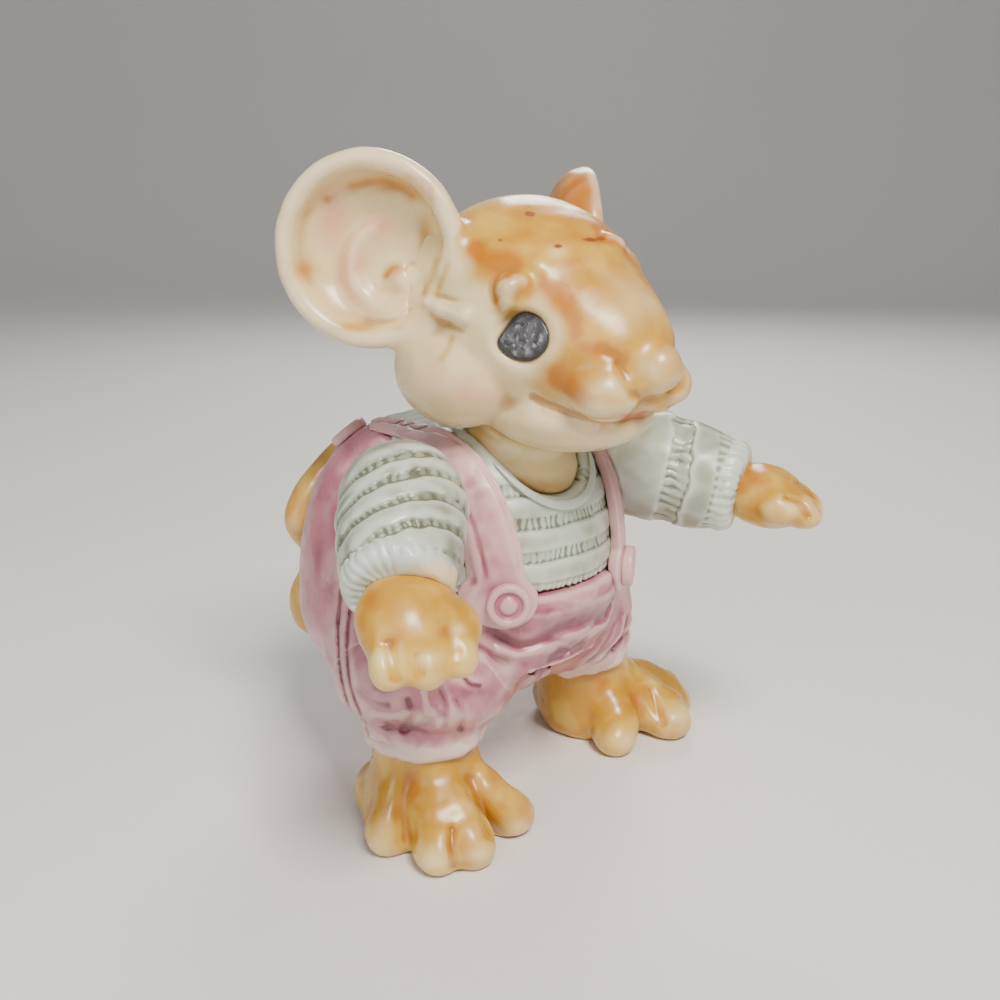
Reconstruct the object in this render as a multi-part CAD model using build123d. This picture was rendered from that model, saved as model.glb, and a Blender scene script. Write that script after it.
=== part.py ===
from build123d import *
import os
from math import atan2, cos, degrees, radians, sin

os.makedirs("parts", exist_ok=True)

# The figure stands on z = 0 and looks along -Y. Its own left side is +X, and x = 0 is its middle plane.
# Lengths are millimetres, angles are degrees. Names that end in share or shares are parts of a named size.

# Trunk: a round back and seat, with a narrower chest in front of it
back_bottom = 12.5
back_height = 34.0
back_width = 40.0
back_depth = 34.0
back_shift = 8.5
chest_bottom = 20.0
chest_height = 26.5
chest_width = 27.0
chest_depth = 24.6
chest_shift = 0.8
# each row: height share, width share, depth share, shift back as a share of the depth
back_shares = [
    (0.00, 0.50, 0.52, 0.00),
    (0.14, 0.84, 0.86, 0.03),
    (0.34, 1.00, 1.00, 0.01),
    (0.56, 0.99, 1.00, -0.01),
    (0.74, 0.90, 0.94, -0.01),
    (0.88, 0.74, 0.79, -0.02),
    (0.97, 0.50, 0.55, -0.04),
    (1.00, 0.24, 0.28, -0.05),
]
chest_shares = [
    (0.00, 0.82, 0.84, 0.00),
    (0.22, 0.97, 0.98, -0.01),
    (0.42, 1.00, 1.00, -0.01),
    (0.64, 0.99, 0.94, 0.00),
    (0.80, 0.91, 0.82, 0.01),
    (0.92, 0.76, 0.64, 0.02),
    (1.00, 0.52, 0.44, 0.02),
]

# Dungarees: cloth over the trunk, cut along the edge of the bib
cloth = 0.7
bib_front_height = 29.5
bib_back_height = 45.0
bib_side_start = 2.0
bib_side_end = 9.0

# Trouser legs, gathered into hem bands; right is the figure's own right
leg_foot_right = (-12.6, 0.4)
leg_foot_left = (17.0, 5.0)
leg_hip_right = (-10.2, 2.4)
leg_hip_left = (9.4, 5.0)
leg_width_right = 21.5
leg_width_left = 19.0
leg_bottom = 13.0
leg_height = 14.6
hem_width = 13.6
hem_height = 2.0
hem_roll = 0.8
leg_shares = [
    (0.00, 0.58),
    (0.08, 0.78),
    (0.22, 0.94),
    (0.42, 1.00),
    (0.66, 0.95),
    (0.88, 0.70),
    (1.00, 0.30),
]

# Feet: a heel and a column under each leg, and toes that rays of flesh join to it
foot_place_right = (-12.8, 0.4)
foot_place_left = (21.0, 5.0)
foot_length = 18.0
ankle_width = 12.4
ankle_depth = 11.6
ankle_height = 13.6
heel_width = 13.0
heel_length = 12.0
heel_height = 8.0
heel_sunk_share = 0.36
heel_shift_share = 0.20
instep_height = 4.6
ray_width = 6.4
toe_width = 5.6
toe_length = 6.6
toe_height = 5.4
toe_sunk_share = 0.38
# each row: how far out to its own side and ahead as shares of the foot's length, and the width's share
toe_shares_right = [
    (0.36, 0.12, 1.00),
    (0.27, 0.47, 0.96),
    (0.08, 0.56, 0.96),
    (-0.32, 0.46, 1.00),
]
toe_shares_left = [
    (0.52, 0.06, 1.00),
    (0.46, 0.36, 1.05),
    (0.22, 0.56, 1.10),
    (-0.27, 0.46, 1.00),
]
ankle_shares = [
    (0.00, 1.18),
    (0.30, 1.16),
    (0.60, 1.03),
    (0.85, 0.97),
    (1.00, 0.90),
]
ray_shares = [
    (0.00, 0.90),
    (0.35, 1.00),
    (0.70, 0.90),
    (1.00, 0.74),
]

# Neck and the bare chest in the scooped neckline
scoop_width = 13.2
scoop_height = 46.2
bare_depth = 0.8
collar_width = 1.6
collar_proud = 0.7
neck_width = 12.0
neck_depth = 11.0
neck_shift = -1.5
neck_bottom = 38.0
neck_top = 51.0

# Straps and buttons
strap_width = 4.2
strap_proud = 0.7
strap_foot = 9.2
strap_top = 11.0
strap_back = 9.0
strap_crest = 52.0
button_width = 4.8
button_height = 1.5
button_rim = 0.8
button_well = 0.5
button_sink = 0.35
back_button_drop = 2.0
button_dome = 2.2
tab_width = 6.2

# Arms, held out to the sides and forward; the hands bend down at the wrist
shoulder_side = 14.6
shoulder_shift = 0.2
shoulder_height_right = 43.0
shoulder_height_left = 41.0
arm_turn_right = 40.0
arm_turn_left = 26.0
arm_drop_right = 24.0
arm_drop_left = 10.5
sleeve_length = 17.4
sleeve_width = 13.6
cuff_width = 10.2
cuff_length = 2.4
cuff_roll = 0.8
hand_turn_right = 18.0
hand_turn_left = 42.0
hand_drop_right = 36.0
hand_drop_left = 14.0
hand_length = 10.4
hand_width = 10.4
hand_thickness = 7.2
hand_reach_share = 0.40
finger_length = 5.4
finger_width = 4.0
finger_reach_share = 0.84
finger_count = 3
finger_spread = 21.0
thumb_reach_share = 0.52
thumb_side_share = 0.44
sleeve_shares = [
    (0.00, 0.46),
    (0.08, 0.78),
    (0.24, 0.97),
    (0.50, 1.00),
    (0.78, 0.92),
    (1.00, 0.76),
]

# Head
head_length = 32.5
head_height = 24.6
head_width = 25.0
head_pitch = 14.0
head_back = 10.2
head_back_height = 62.4
cheek_width = 12.6
cheek_side = 8.4
cheek_shift = -1.4
cheek_length = 16.0
cheek_level = 53.6
jaw_width = 17.0
jaw_length = 20.0
jaw_height = 8.8
jaw_shift = -9.4
jaw_level = 49.4
pad_width = 7.8
pad_height = 6.2
pad_side = 3.8
pad_shift = -18.4
pad_level = 52.8
nose_width = 5.4
nose_shift = -21.8
nose_level = 55.2
brow_width = 3.2
brow_side = 6.4
brow_shift = -11.6
brow_level = 64.4
eye_width = 5.0
eye_depth = 2.6
eye_side = 8.6
eye_shift = -11.8
eye_level = 58.3
eye_turn = 44.0
head_shares = [
    (0.00, 0.20),
    (0.03, 0.38),
    (0.09, 0.61),
    (0.19, 0.84),
    (0.33, 0.98),
    (0.46, 1.00),
    (0.60, 0.91),
    (0.74, 0.73),
    (0.86, 0.57),
    (0.95, 0.41),
    (1.00, 0.20),
]

# Ears: dished shells with a rolled rim, a curved inner ridge and a bump at the ear canal
ear_height = 20.4
ear_dish = 3.4
ear_wall = 1.5
ear_roll = 1.1
ear_side = 15.9
ear_shift = 3.9
ear_level = 66.0
ear_tilt = 1.6
ear_turn = 52.0
ridge_reach_share = 0.45
ridge_place_share = 0.55
ridge_sink_share = 0.80
ridge_tilt = 7.0
ridge_width = 1.6
ridge_start = 70.0
ridge_arc = 215.0
canal_width = 3.2
canal_side = 3.0
canal_drop = 3.2

# Tail: it tapers and waves up the back
tail_root_width = 4.8
tail_tip_width = 3.2
tail_end_share = 0.5
tail_side = 14.0
tail_stand = 1.0
tail_rise = 2.0
tail_height = 27.5
tail_rings = 17
# each row: share of the side, of the reach behind the middle of the back, and of the height
tail_route_shares = [
    (0.05, 0.80, 0.04),
    (0.45, 0.98, 0.05),
    (0.98, 0.84, 0.24),
    (0.68, 0.98, 0.43),
    (0.98, 0.86, 0.62),
    (0.66, 0.86, 0.86),
    (0.30, 0.72, 1.00),
]

# One overrun for cutting tools
overrun = 60.0


def turned(shares, length, width, height):
    """A loft along Z through ellipses, from shares of the length and of the half width and height."""
    return loft([
        Location((0, 0, along * length)) * Ellipse(share * width / 2, share * height / 2)
        for along, share in shares
    ])


def stacked(shares, bottom, height, width, depth, shift, growth=0.0):
    """A loft through level ellipses, grown outwards by growth."""
    rings = []
    for up, wide, deep, back in shares:
        centre = Location((0, shift + back * depth, bottom + up * height))
        rings.append(centre * Ellipse(wide * width / 2 + growth, deep * depth / 2 + growth))
    return loft(rings)


def trunk(growth=0.0):
    """The clothed trunk, chest and back together."""
    back = stacked(back_shares, back_bottom, back_height, back_width, back_depth, back_shift, growth)
    chest = stacked(chest_shares, chest_bottom, chest_height, chest_width, chest_depth, chest_shift, growth)
    return back + chest


def ball(width, depth, height, x, y, z):
    """An ellipsoid of full sizes about a centre."""
    return Location((x, y, z)) * scale(Sphere(1), by=(width / 2, depth / 2, height / 2))


def strip(foot, top, low, high, width, front):
    """A slanted band seen from the front, driven through the front or the back half of the trunk."""
    half = width / 2
    outline = Polyline((foot - half, low), (top - half, high), (top + half, high), (foot + half, low),
                       (foot - half, low))
    return extrude(Plane.XZ * make_face(outline), overrun if front else -overrun)


def side_name(sign):
    """The figure's own side: right is -X, left is +X."""
    return "right" if sign < 0 else "left"


def make_region_below_bib():
    """Everything under the edge of the dungarees, as seen from the side."""
    edge = Polyline((-overrun, 0), (-overrun, bib_front_height), (bib_side_start, bib_front_height))
    edge += Spline([(bib_side_start, bib_front_height), (bib_side_end, bib_back_height)],
                   tangents=[(1, 0), (1, 0)])
    edge += Polyline((bib_side_end, bib_back_height), (overrun, bib_back_height), (overrun, 0), (-overrun, 0))
    return extrude(Plane.YZ * make_face(edge), overrun, both=True)


def make_scoop(width):
    """The round bite that the neckline takes out of the chest."""
    return Plane(origin=(0, 0, scoop_height), z_dir=(0, -1, 0)) * Cylinder(
        width / 2, overrun, align=(Align.CENTER, Align.CENTER, Align.MIN))


def make_neck_column():
    """The neck between the chest and the head."""
    ring = Ellipse(neck_width / 2, neck_depth / 2)
    return Location((0, neck_shift, neck_bottom)) * extrude(ring, neck_top - neck_bottom)


def make_leg(foot, hip, width):
    """A baggy trouser leg from its gathered hem up into the seat."""
    low = Vector(foot[0], foot[1], leg_bottom)
    high = Vector(hip[0], hip[1], leg_bottom + leg_height)
    lean = Plane(origin=low, x_dir=(1, 0, 0), z_dir=high - low)
    return lean * turned(leg_shares, (high - low).length, width, width)


def make_hem(foot):
    """The rolled band that gathers a trouser leg."""
    band = Location((foot[0], foot[1], leg_bottom - hem_height / 2)) * Cylinder(hem_width / 2, hem_height)
    return fillet(band.edges(), hem_roll)


def make_ray(spot):
    """The flesh between the column of a foot and one of its toes."""
    start = Vector(0, 0, instep_height)
    lean = Plane(origin=start, x_dir=(-spot.Y, spot.X, 0), z_dir=spot - start)
    return lean * turned(ray_shares, (spot - start).length, ray_width, ray_width)


def make_column(lean_x, lean_y):
    """The column of a foot, from the floor up to the trouser leg it leans towards."""
    rings = []
    for up, wide in ankle_shares:
        centre = Location((lean_x * up, lean_y * up, ankle_height * up))
        rings.append(centre * Ellipse(wide * ankle_width / 2, wide * ankle_depth / 2))
    return loft(rings)


def make_foot(place, leg_foot, sign, toe_shares):
    """A broad foot with splayed toes, ground flat underneath."""
    heel = ball(heel_width, heel_length, heel_height, 0, foot_length * heel_shift_share,
                heel_height * heel_sunk_share)
    shape = make_column(leg_foot[0] - place[0], leg_foot[1] - place[1]) + heel
    for out, ahead, wide in toe_shares:
        spot = Vector(sign * out * foot_length, -ahead * foot_length, toe_height * toe_sunk_share)
        toe = ball(toe_width * wide, toe_length, toe_height, 0, 0, 0)
        shape += make_ray(spot)
        shape += Location(spot, (0, 0, degrees(atan2(spot.X, -spot.Y)))) * toe
    ground = Location((0, 0, overrun / 2)) * Box(overrun, overrun, overrun)
    return Location((place[0], place[1], 0)) * (shape & ground)


def limb_plane(origin, sign, turn, drop):
    """A plane at a joint of the arm whose Z runs down the limb."""
    turn, drop = radians(turn), radians(drop)
    return Plane(
        origin=origin,
        x_dir=(cos(turn), sign * sin(turn), 0),
        z_dir=(sign * sin(turn) * cos(drop), -cos(turn) * cos(drop), -sin(drop)))


def make_hand(sign):
    """A thick palm with blunt fingers and a thumb on its inner side, along Z from the wrist."""
    palm = ball(hand_width, hand_thickness, hand_length, 0, 0, hand_length * hand_reach_share)
    for count in range(finger_count):
        angle = (count - (finger_count - 1) / 2) * finger_spread
        finger = ball(finger_width, finger_width, finger_length, 0, 0, hand_length * finger_reach_share)
        palm += Rot(0, angle, 0) * finger
    thumb = ball(finger_width, finger_width, finger_length, -sign * hand_width * thumb_side_share, 0,
                 hand_length * thumb_reach_share)
    return palm + thumb


def make_head():
    """The head with its muzzle, jaw, cheeks, whisker pads, nose and brows."""
    pitch = radians(head_pitch)
    forward = Plane(origin=(0, head_back, head_back_height), x_dir=(1, 0, 0),
                    z_dir=(0, -cos(pitch), -sin(pitch)))
    head = forward * turned(head_shares, head_length, head_width, head_height)
    head += ball(jaw_width, jaw_length, jaw_height, 0, jaw_shift, jaw_level)
    head += ball(nose_width, nose_width, nose_width, 0, nose_shift, nose_level)
    for sign in (-1, 1):
        head += ball(cheek_width, cheek_length, cheek_width, sign * cheek_side, cheek_shift, cheek_level)
        head += ball(pad_width, pad_width, pad_height, sign * pad_side, pad_shift, pad_level)
        head += ball(brow_width, brow_width, brow_width, sign * brow_side, brow_shift, brow_level)
    return head


def make_eye(sign):
    """A flat oval eye bead, turned to look sideways."""
    turn = radians(eye_turn)
    look = Plane(origin=(sign * eye_side, eye_shift, eye_level), z_dir=(sign * sin(turn), -cos(turn), 0))
    return look * scale(Sphere(1), by=(eye_width / 2, eye_width / 2, eye_depth / 2))


def make_ear():
    """A dished ear about Z: a rolled rim, a curved ridge inside and a bump over the canal."""
    radius = ear_height / 2
    inner = radius - 2 * ear_roll
    bowl = Spline([(0, -ear_dish), (inner, 0)], tangents=[(1, 0), (ear_roll, radius)])
    roll = ThreePointArc((inner, 0), (radius - ear_roll, ear_roll), (radius, 0))
    back = Spline([(radius, 0), (0, -ear_dish - ear_wall)], tangents=[(-ear_roll, -radius), (-1, 0)])
    wall = Line((0, -ear_dish - ear_wall), (0, -ear_dish))
    shell = revolve(Plane.XZ * make_face(bowl + roll + back + wall), Axis.Z)
    place = Vector(canal_side, -canal_drop, 0) * ridge_place_share
    hinge = Vector(canal_drop, canal_side, 0).normalized()
    level = Plane(origin=place - Vector(0, 0, ear_dish * ridge_sink_share), x_dir=hinge, z_dir=(0, 0, 1))
    tilted = level.rotated((-ridge_tilt, 0, 0))
    across = Plane.XZ * Location((radius * ridge_reach_share, 0)) * Circle(ridge_width / 2)
    shell += tilted * Rot(0, 0, ridge_start) * revolve(across, Axis.Z, ridge_arc)
    shell += ball(canal_width, canal_width, canal_width, canal_side, -canal_drop, -ear_dish)
    return shell


def place_ear(sign, shell, level):
    """Sets an ear on the head, facing out to its own side."""
    turn = radians(ear_turn)
    face = Plane(origin=(sign * ear_side, ear_shift, level), x_dir=(cos(turn), sign * sin(turn), 0),
                 z_dir=(sign * sin(turn), -cos(turn), 0))
    return face * (mirror(shell, Plane.YZ) if sign > 0 else shell)


def make_tail():
    """A tapering tail that waves up the back, a loft through rings square to its route."""
    reach = back_depth / 2 + tail_stand
    places = [Vector(-tail_side * side, back_shift + reach * back, back_bottom + tail_rise + tail_height * up)
              for side, back, up in tail_route_shares]
    route = Spline(places)
    rings = []
    for count in range(tail_rings):
        share = count / (tail_rings - 1)
        width = tail_root_width + (tail_tip_width - tail_root_width) * share
        end = min(share, 1 - share) * (tail_rings - 1)
        width *= tail_end_share if end == 0 else 1
        rings.append(Plane(origin=route @ share, z_dir=route % share) * Circle(width / 2))
    return loft(rings)


def make_button():
    """A flat button along Z with a raised rim and a domed middle."""
    radius = button_width / 2
    disc = Cylinder(radius, button_height, align=(Align.CENTER, Align.CENTER, Align.MIN))
    well = Cylinder(radius - button_rim, button_well, align=(Align.CENTER, Align.CENTER, Align.MAX))
    disc -= Location((0, 0, button_height)) * well
    dome = ball(button_dome, button_dome, 2 * button_well, 0, 0, button_height - button_well)
    return disc + dome


def outermost(solid, x, height, way):
    """The outermost point of a solid along +Y or -Y at a side and height, as a plane facing outwards."""
    hits = solid.find_intersection_points(Axis((x, 0, height), (0, way, 0)))
    spot, normal = max(hits, key=lambda hit: way * hit[0].Y)
    return Plane(origin=spot - normal * button_sink, z_dir=normal)


core = trunk()
coat = trunk(cloth)
below_bib = make_region_below_bib()
scoop = make_scoop(scoop_width)
column = make_neck_column()
head = make_head()

parts = {}
parts["dungarees"] = coat & below_bib
parts["neck"] = (trunk(-bare_depth) & scoop) + column - head
parts["jumper"] = core - below_bib - scoop - column - head
collar = trunk(collar_proud) & make_scoop(scoop_width + 2 * collar_width)
parts["collar"] = collar - scoop - core - column - head

strap_skin = trunk(cloth + strap_proud) - core
for sign in (-1, 1):
    side = side_name(sign)
    front = strip(sign * strap_foot, sign * strap_top, bib_front_height, strap_crest, strap_width, True)
    back = strip(sign * strap_back, sign * strap_top, bib_back_height, strap_crest, strap_width, False)
    tab = Plane(origin=(sign * strap_foot, 0, bib_front_height), z_dir=(0, -1, 0)) * Cylinder(
        tab_width / 2, overrun, align=(Align.CENTER, Align.CENTER, Align.MIN))
    strap = (strap_skin & (front + back + tab)) - parts["dungarees"] - parts["collar"] - head
    parts["strap_" + side] = strap
    for place, x, height, way in (
            ("front", strap_foot, bib_front_height, -1),
            ("back", strap_back, bib_back_height - back_button_drop, 1)):
        carrier = strap if place == "front" else parts["dungarees"]
        button = outermost(carrier, sign * x, height, way) * make_button()
        parts["button_" + place + "_" + side] = button - carrier - parts["dungarees"]

for sign, foot, hip, width, place, toe_shares in (
        (-1, leg_foot_right, leg_hip_right, leg_width_right, foot_place_right, toe_shares_right),
        (1, leg_foot_left, leg_hip_left, leg_width_left, foot_place_left, toe_shares_left)):
    side = side_name(sign)
    leg = make_leg(foot, hip, width) - parts["dungarees"]
    parts["trouser_leg_" + side] = leg
    parts["foot_" + side] = make_foot(place, foot, sign, toe_shares) - leg - parts["dungarees"]
    parts["hem_" + side] = make_hem(foot) - leg - parts["dungarees"] - parts["foot_" + side]

for sign, height, arm_turn, arm_drop, hand_turn, hand_drop in (
        (-1, shoulder_height_right, arm_turn_right, arm_drop_right, hand_turn_right, hand_drop_right),
        (1, shoulder_height_left, arm_turn_left, arm_drop_left, hand_turn_left, hand_drop_left)):
    side = side_name(sign)
    arm = limb_plane((sign * shoulder_side, shoulder_shift, height), sign, arm_turn, arm_drop)
    wrist = limb_plane(arm.from_local_coords(Vector(0, 0, sleeve_length)), sign, hand_turn, hand_drop)
    sleeve = arm * turned(sleeve_shares, sleeve_length, sleeve_width, sleeve_width)
    sleeve = sleeve - core - parts["dungarees"] - parts["strap_" + side]
    hand = wrist * make_hand(sign) - sleeve
    cuff = Location((0, 0, sleeve_length)) * Cylinder(cuff_width / 2, cuff_length)
    parts["sleeve_" + side] = sleeve
    parts["hand_" + side] = hand
    parts["cuff_" + side] = arm * fillet(cuff.edges(), cuff_roll) - sleeve - hand

for sign in (-1, 1):
    eye = make_eye(sign)
    head -= eye
    parts["eye_" + side_name(sign)] = eye
parts["head"] = head
parts["ear_right"] = place_ear(-1, make_ear(), ear_level) - head
parts["ear_left"] = place_ear(1, make_ear(), ear_level - ear_tilt) - head

parts["tail"] = make_tail() - parts["dungarees"] - parts["button_back_right"]

# The origin is on the floor, under the middle of the figure's bounding box.
middle = Compound(children=[Compound(solid.solids()) for solid in parts.values()]).bounding_box().center()
for name, solid in parts.items():
    placed = Location((-middle.X, -middle.Y, 0)) * solid
    export_step(placed, "parts/" + name + ".step")
    print(name, len(placed.solids()), round(placed.volume, 1))
print("middle of the box", round(middle.X, 3), round(middle.Y, 3))
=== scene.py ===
from math import cos, pi, radians, sin

import bpy
import numpy as np
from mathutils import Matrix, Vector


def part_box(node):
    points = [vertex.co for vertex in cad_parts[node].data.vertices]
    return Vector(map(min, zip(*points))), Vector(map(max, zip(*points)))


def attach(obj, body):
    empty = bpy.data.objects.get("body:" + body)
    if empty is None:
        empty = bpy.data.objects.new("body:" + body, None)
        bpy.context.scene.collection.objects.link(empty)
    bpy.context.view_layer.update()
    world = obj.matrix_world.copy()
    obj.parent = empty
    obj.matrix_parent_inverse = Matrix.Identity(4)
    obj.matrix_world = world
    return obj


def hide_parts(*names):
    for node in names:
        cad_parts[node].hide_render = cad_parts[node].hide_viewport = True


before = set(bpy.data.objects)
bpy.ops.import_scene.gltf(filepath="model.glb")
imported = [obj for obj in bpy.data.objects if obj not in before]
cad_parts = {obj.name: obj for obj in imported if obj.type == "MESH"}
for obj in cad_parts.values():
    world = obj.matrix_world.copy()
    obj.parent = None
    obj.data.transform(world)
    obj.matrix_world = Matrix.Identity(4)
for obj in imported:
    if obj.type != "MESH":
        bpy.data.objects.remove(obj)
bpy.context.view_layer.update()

import openvdb
from mathutils import Matrix, Vector

# Shapes are worked out in millimetres, from the frame, and turned into metres when their mesh is made.
MM = 0.001
# The step of a voxel grid, plain and for fine pieces
VOXEL = 0.2
FINE_VOXEL = 0.15
# How far a distance field reaches from its surface, and how far from it marks are pressed
REACH = 3.0
BAND = 1.3
# How far a form stays under the surface of a neighbour that it is drawn up against
SEAM = 0.1
# About how much of the figure a pixel of the photograph covers
MM_PER_PIXEL = 0.11
# How far past the middle a mirrored mark goes, and over how much of that it fades
OVERLAP = 4.0
OVERLAP_FADE = 2.5
# How fast a mark gains strength as its surface turns to the view
FACING_GAIN = 4.0
# How widely a hollow is told from what is round it, and how strongly it counts
CAVITY_WIDTH = 0.5
CAVITY_GAIN = 3.0
# Steps of a smooth line between two of its points
CURVE_STEPS = 5
# Keeps a division from zero
TINY = 1e-6

# Where the figure's own middle lies in the row frame: its middle plane is at this x
FIGURE = np.array((-0.783, -1.356, 0.0))
MIDDLE = FIGURE[0]

# The photograph's camera, in the row frame
PICTURE = 1000
FOCAL_PIXELS = 1100.0
SENSOR = 36.0
CAMERA_PLACE = FIGURE + (-82.8, -91.8, 72.5)
CAMERA_TURN = -41.62
CAMERA_PITCH = 16.0


def camera_axes():
    """Right, up and back of the camera, in the row frame."""
    turn, pitch = radians(CAMERA_TURN), radians(CAMERA_PITCH)
    back = np.array((sin(turn) * cos(pitch), -cos(turn) * cos(pitch), sin(pitch)))
    right = np.array((cos(turn), sin(turn), 0.0))
    return right, np.cross(back, right), back


def project(points):
    """Pixels of points as the photograph's camera sees them, and millimetres to a pixel there."""
    right, up, back = camera_axes()
    away = points - CAMERA_PLACE
    depth = -(away @ back)
    across = PICTURE / 2 + FOCAL_PIXELS * (away @ right) / depth
    down = PICTURE / 2 - FOCAL_PIXELS * (away @ up) / depth
    return across, down, depth / FOCAL_PIXELS


def make_camera():
    """Sets the scene's camera to the photograph's view."""
    right, up, back = camera_axes()
    data = bpy.data.cameras.new("photo_camera")
    data.sensor_width = SENSOR
    data.lens = SENSOR * FOCAL_PIXELS / PICTURE
    data.clip_start = 0.005
    camera = bpy.data.objects.new("photo_camera", data)
    turn = Matrix((right, up, back)).transposed()
    camera.matrix_world = Matrix.Translation(Vector(CAMERA_PLACE * MM)) @ turn.to_4x4()
    bpy.context.scene.collection.objects.link(camera)
    bpy.context.scene.camera = camera


# Distance fields

def node_mesh(name):
    """Corner points in millimetres and triangles of a node of the frame."""
    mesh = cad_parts[name].data
    mesh.calc_loop_triangles()
    points = np.empty(len(mesh.vertices) * 3, np.float32)
    mesh.vertices.foreach_get("co", points)
    corners = np.empty(len(mesh.loop_triangles) * 3, np.int32)
    mesh.loop_triangles.foreach_get("vertices", corners)
    return points.reshape(-1, 3) / MM, corners.reshape(-1, 3).astype(np.uint32)


def node_box(name):
    """Lowest and highest corner of a node, in millimetres."""
    low, high = np.array(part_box(name)) / MM
    return low, high


def node_middle(name):
    """The middle of the box round a node, in millimetres."""
    low, high = node_box(name)
    return (low + high) / 2


def soft_min(a, b, blend):
    """The smaller of two fields, with a fillet where they are close."""
    overlap = np.maximum(blend - np.abs(a - b), 0) / blend
    return np.minimum(a, b) - overlap * overlap * blend / 4


def blurred(values, width):
    """A field averaged over a width in voxels, by repeated passes of a three-step kernel."""
    for _ in range(max(1, round(2 * width * width))):
        for axis in range(3):
            ahead = np.roll(values, 1, axis)
            behind = np.roll(values, -1, axis)
            values = (ahead + behind + 2 * values) / 4
    return values


class Block:
    """A box of voxels round a node, with the distance field of the form that is sculpted from it."""

    def __init__(self, node, margin=1.8, voxel=VOXEL):
        low, high = node_box(node)
        self.node = node
        self.voxel = voxel
        self.low = np.floor((low - margin) / voxel).astype(int)
        self.shape = tuple(np.ceil((high + margin) / voxel).astype(int) - self.low + 1)
        self.field = self.solid(node)

    def solid(self, name, inset=0.0):
        """The distance field of a node of the frame, in this block."""
        points, triangles = node_mesh(name)
        transform = openvdb.createLinearTransform(voxelSize=self.voxel)
        grid = openvdb.FloatGrid.createLevelSetFromPolygons(
            points, triangles=triangles, transform=transform, halfWidth=REACH / self.voxel)
        values = np.empty(self.shape, np.float32)
        grid.copyToArray(values, ijk=tuple(int(step) for step in self.low))
        return values + inset

    def join(self, name, blend, inset):
        """Adds a node that is drawn in by inset, with a fillet as wide as blend."""
        self.field = soft_min(self.field, self.solid(name, inset), blend)

    def meet(self, name, blend, reach=1.6):
        """Draws the form up against a neighbour with a fillet, without taking the neighbour in."""
        own = self.field
        self.field = np.maximum(soft_min(own, self.solid(name, SEAM), blend), own - reach)

    def window(self, low, high):
        """The part of the block between two corners, and the steps along its axes in millimetres."""
        first = np.clip(np.floor(np.array(low) / self.voxel).astype(int) - self.low, 0, self.shape)
        last = np.clip(np.ceil(np.array(high) / self.voxel).astype(int) - self.low + 1, 0, self.shape)
        part = tuple(slice(a, b) for a, b in zip(first, last))
        axes = [(np.arange(a, b, dtype=np.float32) + step) * self.voxel
                for a, b, step in zip(first, last, self.low)]
        return part, axes

    def tube(self, route, radii, blend):
        """Adds a tapering round tube along a route, with a fillet as wide as blend."""
        route = np.array(route, float)
        radii = np.broadcast_to(radii, len(route))
        for start, end, first, last in zip(route[:-1], route[1:], radii[:-1], radii[1:]):
            spread = max(first, last) + 2 * blend + self.voxel
            part, (x, y, z) = self.window(np.minimum(start, end) - spread, np.maximum(start, end) + spread)
            if min(len(x), len(y), len(z)) == 0:
                continue
            x, y, z = x[:, None, None] - start[0], y[None, :, None] - start[1], z[None, None, :] - start[2]
            way = end - start
            share = np.clip((x * way[0] + y * way[1] + z * way[2]) / max(way @ way, TINY), 0, 1)
            off = [steps - share * step for steps, step in zip((x, y, z), way)]
            distance = np.sqrt(off[0] ** 2 + off[1] ** 2 + off[2] ** 2)
            shape = distance - first - (last - first) * share
            self.field[part] = soft_min(self.field[part], shape, blend)

    def smooth(self, width):
        """Rounds every edge and crease over about this width."""
        self.field = blurred(self.field, width / self.voxel)

    def press(self, depth_of):
        """Raises or sinks the surface by a function of its skin; positive depths sink it."""
        index = np.nonzero(np.abs(self.field) < BAND)
        points = np.stack([(axis + step) * self.voxel for axis, step in zip(index, self.low)], axis=-1)
        slopes = []
        for axis in range(3):
            ahead, behind = list(index), list(index)
            ahead[axis] = np.minimum(index[axis] + 1, self.shape[axis] - 1)
            behind[axis] = np.maximum(index[axis] - 1, 0)
            slopes.append(self.field[tuple(ahead)] - self.field[tuple(behind)])
        slopes = np.stack(slopes, axis=-1)
        slopes /= np.linalg.norm(slopes, axis=1, keepdims=True) + TINY
        self.field[index] += depth_of(Skin(points.astype(np.float32), slopes))

    def sample(self, values, points):
        """Values of an array of this block at points, by straight interpolation."""
        place = points / self.voxel - self.low
        base = np.clip(np.floor(place).astype(int), 0, np.array(self.shape) - 2)
        share = place - base
        total = 0
        for corner in np.ndindex(2, 2, 2):
            weight = np.prod(np.where(corner, share, 1 - share), axis=1)
            spot = base + corner
            total = total + weight * values[spot[:, 0], spot[:, 1], spot[:, 2]]
        return total


# Marks seen in the photograph: grooves, ridges, washes, painted shade and painted highlights, drawn in its
# pixels on the side that faces it

def curve(line):
    """A smooth line through a few points."""
    line = np.array(line, float)
    if len(line) < 3:
        return line
    padded = np.vstack([2 * line[0] - line[1], line, 2 * line[-1] - line[-2]])
    places = []
    for a, b, c, d in zip(padded, padded[1:], padded[2:], padded[3:]):
        for t in np.arange(CURVE_STEPS) / CURVE_STEPS:
            places.append(((2 * b) + (c - a) * t + (2 * a - 5 * b + 4 * c - d) * t ** 2
                           + (3 * b - a - 3 * c + d) * t ** 3) / 2)
    return np.vstack([places, line[-1]])


def line_distance(across, down, line):
    """How many pixels places lie from a line of pixels."""
    best = np.full(len(across), np.inf)
    for start, end in zip(line[:-1], line[1:]):
        way = end - start
        beside, below = across - start[0], down - start[1]
        share = np.clip((beside * way[0] + below * way[1]) / max(way @ way, TINY), 0, 1)
        best = np.minimum(best, np.hypot(beside - share * way[0], below - share * way[1]))
    return best


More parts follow.
